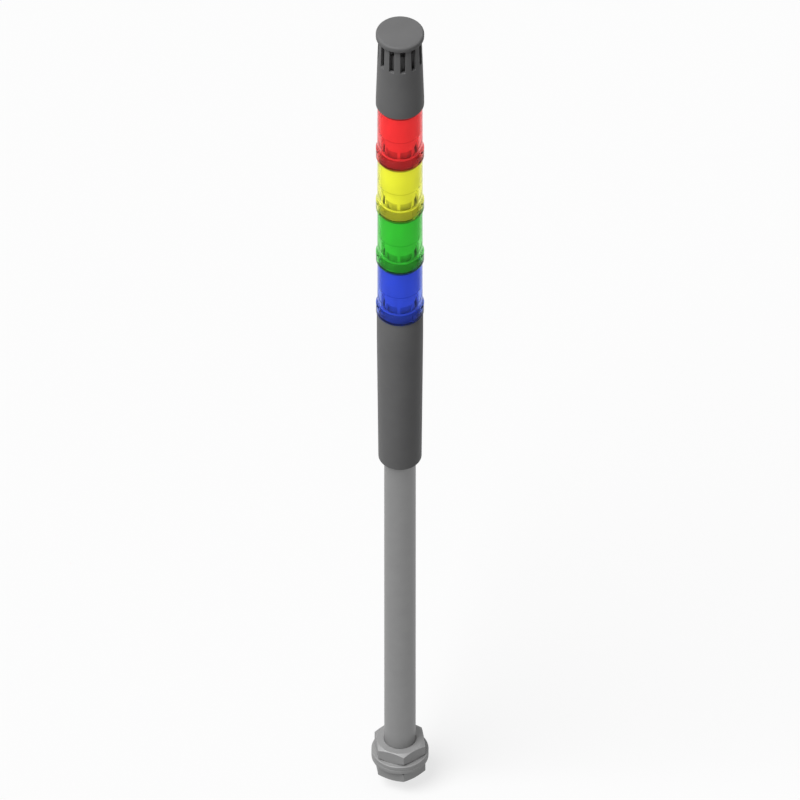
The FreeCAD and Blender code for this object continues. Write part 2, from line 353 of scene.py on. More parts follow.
@dataclass
class Sheet:
    """A node tree with short calls to add and join nodes."""

    tree: NodeTree

    def feed(self, node: Node, inputs: dict[Any, Any]) -> None:
        """Sets some inputs of a node.

        Args:
            node: The node.
            inputs: Value of each input socket, or the output socket that feeds it.
        """
        for key, value in inputs.items():
            if isinstance(value, NodeSocket):
                self.tree.links.new(value, node.inputs[key])
            else:
                node.inputs[key].default_value = value

    def add(self, kind: str, inputs: dict[Any, Any] | None = None, **settings: Any) -> Node:
        """Adds a node.

        Args:
            kind: Blender's name for the node type.
            inputs: Value of each input socket, or the output socket that feeds it.
            settings: Other properties of the node.

        Returns:
            The node.
        """
        node = self.tree.nodes.new(kind)
        for key, value in settings.items():
            setattr(node, key, value)
        self.feed(node, inputs or {})
        return node

    def math(self, operation: str, *values: Any, clamp: bool = False) -> NodeSocket:
        """Adds a Math node on numbers or sockets and gives its result."""
        node = self.add("ShaderNodeMath", dict(enumerate(values)), operation=operation, use_clamp=clamp)
        return node.outputs[0]

    def vector_math(self, operation: str, *values: Any) -> Node:
        """Adds a Vector Math node on vectors or sockets."""
        return self.add("ShaderNodeVectorMath", dict(enumerate(values)), operation=operation)

    def axes(self, place: NodeSocket) -> Any:
        """Adds a Separate XYZ node and gives its outputs."""
        return self.add("ShaderNodeSeparateXYZ", {"Vector": place}).outputs

    def from_axis(self, place: NodeSocket) -> tuple[NodeSocket, NodeSocket]:
        """Adds nodes for the flat vector from the Z axis to a place, and its length."""
        flat = self.vector_math("MULTIPLY", place, (1.0, 1.0, 0.0)).outputs["Vector"]
        return flat, self.vector_math("LENGTH", flat).outputs["Value"]

    def on_circle(self, angle: NodeSocket, radius: NodeSocket, height: NodeSocket) -> NodeSocket:
        """Adds nodes for the place at an angle, a radius and a height about Z."""
        x, y = [self.math("MULTIPLY", self.math(way, angle), radius) for way in ("COSINE", "SINE")]
        return self.add("ShaderNodeCombineXYZ", {"X": x, "Y": y, "Z": height}).outputs[0]

    def noise(self, place: NodeSocket, scale: Any, detail: float) -> NodeSocket:
        """Adds a Noise Texture and gives its value."""
        inputs = {"Vector": place, "Scale": scale, "Detail": detail}
        return self.add("ShaderNodeTexNoise", inputs).outputs["Fac"]

    def span(self, value: NodeSocket, low: float, high: float) -> NodeSocket:
        """Adds a Map Range node from 0 and 1 to low and high."""
        return self.add("ShaderNodeMapRange", {"Value": value, "To Min": low, "To Max": high}).outputs[0]

    def mixed(self, factor: NodeSocket, first: Node, second: Node) -> Node:
        """Adds a Mix Shader node."""
        inputs = {0: factor, 1: first.outputs[0], 2: second.outputs[0]}
        return self.add("ShaderNodeMixShader", inputs)

    def step(self, kind: str, geometry: NodeSocket, **inputs: NodeSocket) -> NodeSocket:
        """Adds a node that works on a geometry and gives its result."""
        return self.add("GeometryNode" + kind, {0: geometry, **inputs}).outputs[0]

    def dressed(self, geometry: NodeSocket, material: NodeSocket) -> NodeTree:
        """Ends a Geometry Nodes tree.

        Args:
            geometry: What the tree has made.
            material: Finish of the result.

        Returns:
            The tree.
        """
        whole = self.step("RealizeInstances", geometry)
        self.add("NodeGroupOutput", {0: self.step("SetMaterial", whole, Material=material)})
        return self.tree


def node_group(name: str, kind: str, inputs: dict[str, Any], outputs: dict[str, str]) -> tuple[Sheet, Any]:
    """Starts a node group with named sockets.

    Args:
        name: Name of the group.
        kind: Type of the tree.
        inputs: First value of each number, and the socket type of anything else.
        outputs: Socket type of each output.

    Returns:
        The group's sheet and the sockets of its inputs.
    """
    tree = bpy.data.node_groups.new(name, kind)
    for label, value in inputs.items():
        plain = isinstance(value, (int, float))
        socket_type = type(value).__name__.capitalize() if plain else value
        socket = tree.interface.new_socket(label, in_out="INPUT", socket_type="NodeSocket" + socket_type)
        if plain:
            socket.default_value = value
    for label, socket_type in outputs.items():
        tree.interface.new_socket(label, in_out="OUTPUT", socket_type="NodeSocket" + socket_type)
    sheet = Sheet(tree)
    return sheet, sheet.add("NodeGroupInput").outputs


@functools.cache
def moulded_grain() -> NodeTree:
    """Group: fine spark-eroded grain and the slow mottle of a moulding.

    Returns:
        The group, made once.
    """
    inputs = {"Grain Scale": 3000.0, "Mottle Scale": 60.0}
    outputs = {"Height": "Float", "Mottle": "Float"}
    sheet, given = node_group("moulded_grain", "ShaderNodeTree", inputs, outputs)
    place = sheet.add("ShaderNodeTexCoord").outputs["Object"]
    grain = sheet.noise(place, given["Grain Scale"], detail=3.0)
    mottle = sheet.noise(place, given["Mottle Scale"], detail=4.0)
    sheet.add("NodeGroupOutput", {"Height": grain, "Mottle": mottle})
    return sheet.tree


@functools.cache
def metal_marks() -> NodeTree:
    """Group: drawing marks along the axis or turning marks around it, and a slow mottle.

    Returns:
        The group, made once.
    """
    inputs = {"Mark Scale": 2500.0, "Mottle Scale": 90.0, "Turned": 0.0}
    outputs = {"Height": "Float", "Mottle": "Float"}
    sheet, given = node_group("metal_marks", "ShaderNodeTree", inputs, outputs)
    place = sheet.add("ShaderNodeTexCoord").outputs["Object"]
    radius = sheet.from_axis(place)[1]
    rings = sheet.add("ShaderNodeCombineXYZ", {"X": radius, "Z": sheet.axes(place)["Z"]}).outputs[0]
    drawn_out = (1.0, 1.0, 0.006)
    lines = sheet.vector_math("MULTIPLY", place, drawn_out).outputs["Vector"]
    choice = {"Factor": given["Turned"], "A": lines, "B": rings}
    chosen = sheet.add("ShaderNodeMix", choice, data_type="VECTOR").outputs["Result"]
    fine = sheet.noise(chosen, given["Mark Scale"], detail=2.0)
    mottle = sheet.noise(place, given["Mottle Scale"], detail=3.0)
    sheet.add("NodeGroupOutput", {"Height": fine, "Mottle": mottle})
    return sheet.tree


@dataclass(frozen=True)
class Finish:
    """What all finishes share: a name and a colour that varies a little."""

    name: str
    colour: Colour
    roughness: float = 0.45
    spread: float = 0.05
    rough_spread: float = 0.04
    mark_scale: float = 3000.0
    mark_height: float = 0.012 * MM

    @functools.cache
    def material(self) -> Material:
        """The material, made once.

        Returns:
            The material.
        """
        material = bpy.data.materials.new(self.name)
        material.use_nodes = True
        self.paint(Sheet(material.node_tree), material.node_tree.nodes["Principled BSDF"])
        return material

    def paint(self, sheet: Sheet, shader: Node) -> None:
        """Sets the shader and adds the nodes that feed it."""
        raise NotImplementedError

    def varied(self, sheet: Sheet, mask: NodeSocket) -> NodeSocket:
        """Colour that grows a little lighter and darker with a mask.

        Args:
            sheet: The material's sheet.
            mask: Value about 0.5 that varies over the surface.

        Returns:
            The colour's socket.
        """
        dark = (*[channel * (1 - self.spread) for channel in self.colour], 1.0)
        light = (*[min(channel * (1 + self.spread), 1.0) for channel in self.colour], 1.0)
        part = sheet.add("ShaderNodeMapRange", {"Value": mask, "From Min": 0.3, "From Max": 0.7})
        mix = {"Factor": part.outputs[0], "A": dark, "B": light}
        return sheet.add("ShaderNodeMix", mix, data_type="RGBA").outputs["Result"]

    def mark(self, sheet: Sheet, shader: Node, group: NodeTree, values: dict[str, float]) -> None:
        """Lets a group that gives a height and a mottle feed the shader.

        Args:
            sheet: The material's sheet.
            shader: Its shader.
            group: The group.
            values: Values of the group's inputs.
        """
        marks = sheet.add("ShaderNodeGroup", values, node_tree=group).outputs
        low, high = self.roughness - self.rough_spread, self.roughness + self.rough_spread
        bump = {"Height": marks["Height"], "Distance": self.mark_height}
        sheet.feed(shader, {
            "Base Color": self.varied(sheet, marks["Mottle"]),
            "Roughness": sheet.span(marks["Mottle"], low, high),
            "Normal": sheet.add("ShaderNodeBump", bump).outputs[0],
        })


@dataclass(frozen=True)
class MouldedPlastic(Finish):
    """Opaque moulded plastic with a fine grain."""

    gloss: float = 0.2

    def paint(self, sheet: Sheet, shader: Node) -> None:
        """Sets the gloss and adds the grain."""
        sheet.feed(shader, {"Specular IOR Level": self.gloss})
        self.mark(sheet, shader, moulded_grain(), {"Grain Scale": self.mark_scale})


@dataclass(frozen=True)
class Metal(Finish):
    """Metal with fine working marks."""

    spread: float = 0.04
    rough_spread: float = 0.05
    mark_scale: float = 2500.0
    mark_height: float = 0.006 * MM
    marks: Marks = Marks.ALONG_AXIS
    metallic: float = 1.0

    def paint(self, sheet: Sheet, shader: Node) -> None:
        """Sets the metal and adds the marks."""
        sheet.feed(shader, {"Metallic": self.metallic})
        self.mark(sheet, shader, metal_marks(), {"Mark Scale": self.mark_scale, "Turned": self.marks.value})


@dataclass(frozen=True)
class LensPlastic(Finish):
    """Coloured lens plastic, polished all over or frosted inside a radius."""

    roughness: float = 0.03
    spread: float = 0.015
    frost: float = 0.2
    frost_inside_of: float = 0.0
    refraction: float = 1.12
    clearness: float = 0.96

    def paint(self, sheet: Sheet, shader: Node) -> None:
        """Sets the glass and adds the mottle, and the frost where there is one.

        Args:
            sheet: The material's sheet.
            shader: Its shader.
        """
        grain = sheet.add("ShaderNodeGroup", node_tree=moulded_grain())
        sheet.feed(shader, {
            "Transmission Weight": self.clearness,
            "IOR": self.refraction,
            "Roughness": self.roughness,
            "Base Color": self.varied(sheet, grain.outputs["Mottle"]),
        })
        if self.frost_inside_of:
            radius = sheet.from_axis(sheet.add("ShaderNodeTexCoord").outputs["Object"])[1]
            inside = sheet.math("LESS_THAN", radius, self.frost_inside_of)
            sheet.feed(shader, {"Roughness": sheet.span(inside, self.roughness, self.frost)})


DARK_PLASTIC = MouldedPlastic("dark_grey_plastic", (0.155, 0.155, 0.156), roughness=0.5, gloss=0.1)
DRUM_PLASTIC = MouldedPlastic("sounder_drum_plastic", (0.17, 0.17, 0.17))
COUPLER_PLASTIC = MouldedPlastic("coupler_grey_plastic", (0.32, 0.32, 0.32), roughness=0.5)
BLOCK_PLASTIC = MouldedPlastic("contact_block_plastic", (0.70, 0.70, 0.69), roughness=0.5)
BLACK_PLASTIC = MouldedPlastic("inner_black_plastic", (0.035, 0.035, 0.036), roughness=0.5)
CORE_PLASTIC = MouldedPlastic("core_white_plastic", (0.92, 0.92, 0.91), roughness=0.4, spread=0.02)
DIFFUSER_PLASTIC = MouldedPlastic("diffuser_opal_plastic", (0.94, 0.94, 0.93), roughness=0.6, spread=0.02)
BOARD_MASK = MouldedPlastic("white_solder_mask", (0.70, 0.72, 0.69), roughness=0.3, mark_scale=1200.0)
CHIP_RESIN = MouldedPlastic("chip_resin", (0.80, 0.70, 0.25), roughness=0.2, mark_scale=1500.0)
SEAL_RUBBER = MouldedPlastic("pale_seal_rubber", (0.72, 0.72, 0.71), roughness=0.6, mark_scale=2000.0)
POLE_METAL = Metal("satin_anodised_pole", (0.29, 0.29, 0.29), metallic=0.4)
NUT_METAL = Metal(
    "zinc_plated_steel", (0.30, 0.30, 0.30), 0.6, mark_scale=1800.0, marks=Marks.AROUND_AXIS, metallic=0.35
)
TINTS = {
    TierColour.RED: (0.985, 0.18, 0.185),
    TierColour.YELLOW: (0.92, 0.93, 0.19),
    TierColour.GREEN: (0.19, 0.745, 0.18),
    TierColour.BLUE: (0.17, 0.265, 0.83),
}


# Geometry Nodes


def run_tree(obj: Object, tree: NodeTree, values: dict[str, Any]) -> None:
    """Runs a Geometry Nodes tree on a piece and leaves the plain mesh that it gives.

    Args:
        obj: The piece.
        tree: The tree.
        values: Values of its inputs.
    """
    modifier = obj.modifiers.new(tree.name, "NODES")
    modifier.node_group = tree
    sockets = [item for item in tree.interface.items_tree if item.in_out == "INPUT"]
    identifiers = {socket.name: socket.identifier for socket in sockets}
    for label, value in values.items():
        modifier[identifiers[label]] = value
    graph = bpy.context.evaluated_depsgraph_get()
    mesh = bpy.data.meshes.new_from_object(obj.evaluated_get(graph), depsgraph=graph)
    old = obj.data
    obj.modifiers.clear()
    obj.data = mesh
    mesh.name = obj.name
    bpy.data.meshes.remove(old)
    for index in reversed(range(len(mesh.materials))):
        if mesh.materials[index] is None:
            mesh.materials.pop(index=index)


@functools.cache
def turning_tree() -> NodeTree:
    """Tree that turns a closed outline of points in the XZ plane into a solid of revolution.

    Returns:
        The tree, made once.
    """
    inputs = {"Outline": "Geometry", "Columns": COLUMNS, "Weld": 0.001 * MM, "Material": "Material"}
    sheet, given = node_group("turned_solid", "GeometryNodeTree", inputs, {"Geometry": "Geometry"})
    outline, columns = given["Outline"], given["Columns"]
    size = sheet.add("GeometryNodeAttributeDomainSize", {"Geometry": outline}, component="MESH")
    points = size.outputs["Point Count"]
    across = sheet.math("ADD", columns, 1.0)
    along = sheet.math("ADD", points, 1.0)
    cells = sheet.add("GeometryNodeMeshGrid", {"Vertices X": along, "Vertices Y": across})
    index = sheet.add("GeometryNodeInputIndex").outputs[0]
    row = sheet.math("FLOOR", sheet.math("DIVIDE", sheet.math("ADD", index, 0.5), across))
    column = sheet.math("SUBTRACT", index, sheet.math("MULTIPLY", row, across))
    position = sheet.add("GeometryNodeInputPosition").outputs[0]
    wanted = {"Geometry": outline, "Index": sheet.math("MODULO", row, points), "Value": position}
    sample = sheet.add("GeometryNodeSampleIndex", wanted, data_type="FLOAT_VECTOR")
    point = sheet.axes(sample.outputs[0])
    angle = sheet.math("DIVIDE", sheet.math("MULTIPLY", column, FULL_TURN), columns)
    place = sheet.on_circle(angle, point["X"], point["Z"])
    solid = sheet.step("SetPosition", cells.outputs["Mesh"], Position=place)
    solid = sheet.step("MergeByDistance", solid, Distance=given["Weld"])
    solid = sheet.step("SetShadeSmooth", sheet.step("FlipFaces", solid))
    return sheet.dressed(solid, given["Material"])


def turned(name: str, outline: Sequence[Point], finish: Finish) -> Object:
    """Solid of revolution about Z.

    Args:
        name: Name of the piece.
        outline: Closed outline of radius and height, anticlockwise.
        finish: Finish of the piece.

    Returns:
        The new object.
    """
    count = len(outline)
    corners = [(radius, 0.0, height) for radius, height in outline]
    edges = [(index, (index + 1) % count) for index in range(count)]
    obj = mesh_object(name, corners, edges=edges)
    run_tree(obj, turning_tree(), {"Columns": COLUMNS, "Material": finish.material()})
    return obj


@functools.cache
def thread_tree() -> NodeTree:
    """Tree that cuts a right-hand screw thread into a round wall about Z.

    Returns:
        The tree, made once.
    """
    inputs = {
        "Geometry": "Geometry",
        "Radius": 10 * MM,
        "Pitch": 1.5 * MM,
        "Depth": 0.6 * MM,
        "Low": 0.0,
        "High": 20 * MM,
        "Run Out": 1.0 * MM,
        "Material": "Material",
    }
    sheet, given = node_group("screw_thread", "GeometryNodeTree", inputs, {"Geometry": "Geometry"})
    crest_share, flank_share, wall_tolerance = 0.15, 0.65, 0.02 * MM
    position = sheet.add("GeometryNodeInputPosition").outputs[0]
    axes = sheet.axes(position)
    turn = sheet.math("DIVIDE", sheet.math("ARCTAN2", axes["Y"], axes["X"]), FULL_TURN)
    climb = sheet.math("DIVIDE", axes["Z"], given["Pitch"])
    phase = sheet.math("FRACT", sheet.math("SUBTRACT", climb, turn))
    ridge = sheet.math("ABSOLUTE", sheet.math("SUBTRACT", sheet.math("MULTIPLY", phase, 2.0), 1.0))
    flank = sheet.math("DIVIDE", sheet.math("SUBTRACT", ridge, crest_share), flank_share, clamp=True)
    above_low = sheet.math("SUBTRACT", axes["Z"], given["Low"])
    below_high = sheet.math("SUBTRACT", given["High"], axes["Z"])
    up = sheet.math("DIVIDE", above_low, given["Run Out"], clamp=True)
    down = sheet.math("DIVIDE", below_high, given["Run Out"], clamp=True)
    cut = sheet.math("MULTIPLY", flank, sheet.math("MULTIPLY", up, down))
    outward, length = sheet.from_axis(position)
    apart = sheet.math("ABSOLUTE", sheet.math("SUBTRACT", length, given["Radius"]))
    on_wall = sheet.math("LESS_THAN", apart, wall_tolerance)
    depth = sheet.math("MULTIPLY", sheet.math("MULTIPLY", cut, given["Depth"]), -1.0)
    shift = sheet.vector_math("SCALE", sheet.vector_math("NORMALIZE", outward).outputs[0])
    sheet.feed(shift, {"Scale": depth})
    moved = sheet.step("SetPosition", given["Geometry"], Selection=on_wall, Offset=shift.outputs[0])
    return sheet.dressed(moved, given["Material"])


@functools.cache
def ring_tree() -> NodeTree:
    """Tree that sets copies of a small object evenly round Z, each turned to face outwards.

    Returns:
        The tree, made once.
    """
    inputs = {
        "Copy": "Object",
        "Count": 6,
        "Radius": 10 * MM,
        "Height": 0.0,
        "First Angle": 0.0,
        "Material": "Material",
    }
    sheet, given = node_group("ring_of_copies", "GeometryNodeTree", inputs, {"Geometry": "Geometry"})
    copy = sheet.add("GeometryNodeObjectInfo", {"Object": given["Copy"]}).outputs["Geometry"]
    points = sheet.add("GeometryNodePoints", {"Count": given["Count"]}).outputs[0]
    index = sheet.add("GeometryNodeInputIndex").outputs[0]
    step = sheet.math("DIVIDE", FULL_TURN, given["Count"])
    angle = sheet.math("ADD", sheet.math("MULTIPLY", index, step), given["First Angle"])
    place = sheet.on_circle(angle, given["Radius"], given["Height"])
    facing = sheet.add("ShaderNodeCombineXYZ", {"Z": angle}).outputs[0]
    set_out = sheet.step("SetPosition", points, Position=place)
    ring = sheet.step("InstanceOnPoints", set_out, Instance=copy, Rotation=facing)
    return sheet.dressed(ring, given["Material"])


@dataclass(frozen=True)
class ScrewThread:
    """A screw thread to cut into a round wall about Z. A negative depth cuts outwards."""

    radius: float
    depth: float
    low: float
    high: float
    pitch: float = 1.5 * MM
    run_out: float = 1.0 * MM

    def cut(self, obj: Object, finish: Finish) -> None:
        """Cuts the thread into the rows of corners of a wall, in the finish of the piece."""
        values = {name.replace("_", " ").title(): value for name, value in vars(self).items()}
        run_tree(obj, thread_tree(), values | {"Material": finish.material()})


# Pieces


def dress(obj: Object, material: Material) -> None:
    """Gives a piece one material."""
    obj.data.materials.clear()
    obj.data.materials.append(material)


def seat(obj: Object, body: str, node: str) -> None:
    """Lets a finished piece ride on its body in place of a CAD node.

    Args:
        obj: The piece.
        body: The body that it moves with.
        node: The node that it stands for.
    """
    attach(obj, body)
    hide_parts(node)
    logger.info("%s rides on %s and stands for %s", obj.name, body, node)


def keep(finish: Finish | None, *nodes: str) -> None:
    """Dresses CAD nodes that keep their shape.

    Args:
        finish: Their finish, or None for the one that they have.
        nodes: Their names.
    """
    for node in nodes:
        if finish:
            dress(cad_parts[node], finish.material())
        logger.info("%s keeps its CAD shape", node)


def outer_radius(node: str) -> float:
    """Outer radius of a round CAD node about Z."""
    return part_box(node)[1].x


@dataclass
class PoleFoot:
    """The pole with its thread, and the nuts and washers on it."""

    bore: float = 8.0 * MM
    end_chamfer: float = 0.8 * MM
    thread_depth: float = 0.75 * MM
    thread_top: float = 27.4 * MM
    row: float = 0.125 * MM
    across_flats: float = 30.0 * MM
    face_radius: float = 14.6 * MM
    chamfer_slope: float = math.tan(math.radians(30))
    nut_bore: float = 9.95 * MM
    nut_thread_depth: float = 0.5 * MM
    nut_run_out: float = 0.2 * MM
    mouth: float = 0.35 * MM
    nut_edge: float = 0.15 * MM
    nut_sharp: float = math.radians(25)
    nut_side_columns: int = 18
    washer_bore: float = 10.5 * MM
    washer_round: float = 0.5 * MM
    washer_burr_round: float = 0.25 * MM
    washer_edge: float = 0.12 * MM

    def pole(self) -> None:
        """Makes the pole."""
        radius = outer_radius("pole")
        low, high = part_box("pole")
        rows = math.ceil(self.thread_top / self.row)
        outline = [
            (self.bore, low.z),
            (radius - self.end_chamfer, low.z),
            *[(radius, self.end_chamfer + self.row * index) for index in range(rows)],
            (radius, high.z),
            (self.bore, high.z),
        ]
        obj = turned("pole_tube", outline, POLE_METAL)
        ScrewThread(radius, self.thread_depth, self.end_chamfer, self.thread_top).cut(obj, POLE_METAL)
        obj.data.set_sharp_from_angle(angle=BLUNT_ANGLE)
        seat(obj, "base", "pole")

    def hexagon(self, angle: float) -> float:
        """Distance from the axis to the side of a nut in a direction."""
        from_flat = (angle + math.pi / 6) % (math.pi / 3) - math.pi / 6
        return self.across_flats / 2 / math.cos(from_flat)

    def chamfer(self, angle: float) -> float:
        """How far the chamfer comes down the side of a nut in a direction."""
        return (self.hexagon(angle) - self.face_radius) * self.chamfer_slope

    def nut(self, node: str, body: str) -> None:
        """Makes one hexagon nut.

        Args:
            node: The CAD node of the nut.
            body: The body that it moves with.
        """
        low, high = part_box(node)
        rows = round((high.z - low.z) / self.row)
        start, end = low.z + self.mouth, high.z - self.mouth
        mouth, face = level(self.nut_bore + self.mouth), level(self.face_radius)
        profile = [
            (mouth, level(low.z)),
            (face, level(low.z)),
            (self.hexagon, lambda angle: low.z + self.chamfer(angle)),
            (self.hexagon, lambda angle: high.z - self.chamfer(angle)),
            (face, level(high.z)),
            (mouth, level(high.z)),
        ]
        for index in range(rows + 1):
            profile.append((level(self.nut_bore), level(end - (end - start) * index / rows)))
        rings = [corner_ring(*lines, 6 * self.nut_side_columns) for lines in profile]
        obj = lofted(node.replace("_nut", "_hex_nut"), rings)
        depth = -self.nut_thread_depth
        ScrewThread(self.nut_bore, depth, start, end, run_out=self.nut_run_out).cut(obj, NUT_METAL)
        round_edges(obj, self.nut_edge, from_angle=self.nut_sharp)
        seat(obj, body, node)

    def washer(self, node: str, body: str) -> None:
        """Makes one washer, rounded where it was punched.

        Args:
            node: The CAD node of the washer.
            body: The body that it moves with.
        """
        low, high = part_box(node)
        outline = [
            (self.washer_bore, low.z),
            *arc((high.x, low.z), self.washer_burr_round, -90, 4),
            *arc((high.x, high.z), self.washer_round, 0),
            (self.washer_bore, high.z),
        ]
        obj = turned(node.replace("_washer", "_flat_washer"), outline, NUT_METAL)
        round_edges(obj, self.washer_edge)
        seat(obj, body, node)

    def build(self) -> None:
        """Makes all pieces of the pole's foot."""
        self.pole()
        self.nut("upper_nut", "base")
        self.nut("lower_nut", "clamp_nut")
        self.washer("upper_washer", "base")
        self.washer("lower_washer", "washer_ring")


@dataclass
class Coupler:
    """The floor on top of a tier or of the body tube, with its bayonet neck."""

    name: str
    body: str
    floor: float = 3.0 * MM
    neck_bore: float = 10.4 * MM
    neck: float = 12.3 * MM
    spigot: float = 12.6 * MM
    lug_reach: float = 13.3 * MM
    lug_low: float = 5.6 * MM
    lug_high: float = 7.6 * MM
    lug_half_deg: float = 8.0
    edge: float = 0.2 * MM

    def filled(self, layer: int, degrees: float, height: float) -> bool:
        """Whether a cell is part of the floor, the neck or a lug."""
        on_lug = self.lug_low < height < self.lug_high and near_any(degrees, LUG_TURNS, self.lug_half_deg)
        return layer < 3 if height < self.floor else layer == 1 or (layer > 1 and on_lug)

    def build(self) -> None:
        """Makes the coupler."""
        low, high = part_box(self.name)
        radii = [level(r) for r in (0.0, self.neck_bore, self.neck, self.spigot, self.lug_reach)]
        heights = (0.0, self.floor, self.lug_low, self.lug_high, high.z - low.z)
        columns = with_radial(EVEN_COLUMNS, both_sides(LUG_TURNS, self.lug_half_deg), self.neck)
        obj = CellRing(self.name + "_moulding", low.z, radii, heights, columns, self.filled).build()
        dress(obj, COUPLER_PLASTIC.material())
        round_edges(obj, self.edge)
        seat(obj, self.body, self.name)


@dataclass
class BodyTube:
    """The tapered housing under the tiers."""

    straight: float = 22.0 * MM
    foot: float = 13.55 * MM
    wall: float = 2.2 * MM
    rim_bore: float = 12.7 * MM
    rim_depth: float = 3.0 * MM
    pole_hole: float = 10.0 * MM
    floor: float = 3.0 * MM
    foot_round: float = 1.0 * MM
    rim_round: float = 0.25 * MM

    def build(self) -> None:
        """Makes the housing and dresses what it holds."""
        low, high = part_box("body_tube")
        top = high.x
        shoulder = high.z - self.straight
        share = self.floor / (shoulder - low.z)
        inner_foot = self.foot + (top - self.foot) * share - self.wall
        outline = [
            (self.pole_hole, low.z),
            *arc((self.foot, low.z), self.foot_round, -90),
            (top, shoulder),
            *arc((top, high.z), self.rim_round, 0, 3),
            (self.rim_bore, high.z),
            (self.rim_bore, high.z - self.rim_depth),
            (top - self.wall, high.z - self.rim_depth),
            (top - self.wall, shoulder),
            (inner_foot, low.z + self.floor),
            (self.pole_hole, low.z + self.floor),
        ]
        obj = turned("body_tube_moulding", outline, DARK_PLASTIC)
        obj.data.set_sharp_from_angle(angle=SHARP_ANGLE)
        seat(obj, "base", "body_tube")
        Coupler("coupler_tube", "base").build()
        keep(BLACK_PLASTIC, "pole_bush", "terminal_block")
        keep(SEAL_RUBBER, "seal_tube")
        keep(None, "contact_pads_tube")


@dataclass(frozen=True)
class BayonetSocket:
    """The L-shaped cuts for the lugs in the foot of a tier or the sounder."""

    wall: float = 12.5 * MM
    depth: float = 13.5 * MM
    run_low: float = 2.4 * MM
    run_high: float = 4.8 * MM
    top: float = 6.6 * MM
    start_deg: float = -31.0
    entry_end_deg: float = -13.0
    end_deg: float = 9.0

    def edges(self) -> list[float]:
        """Directions of the cuts' side walls, in degrees."""
        sides = (self.start_deg, self.entry_end_deg, self.end_deg)
        return [turn + side for turn in LUG_TURNS for side in sides]

    def is_cut(self, degrees: float, height: float) -> bool:
        """Whether a cell between wall and depth is cut away.

        Args:
            degrees: Direction of the cell's middle.
            height: Height of the cell's middle above the seat.

        Returns:
            True in an entry or in a locking run.
        """
        end = self.end_deg if height > self.run_low else self.entry_end_deg
        sides = [signed_degrees(degrees - turn) for turn in LUG_TURNS]
        return height < self.run_high and any(self.start_deg < side < end for side in sides)


@dataclass(kw_only=True)
class Stacked:
    """What a tier and the sounder share: the bayonet cuts and the tube inside."""

    cuts: BayonetSocket = BayonetSocket()
    core: float = 9.75 * MM
    core_bore: float = 8.25 * MM
    core_foot: float = 1.5 * MM

    def stand(self, node: str) -> None:
        """Takes seat and height of a CAD node from the frame."""
        low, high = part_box(node)
        self.seat, self.height = low.z, high.z - low.z


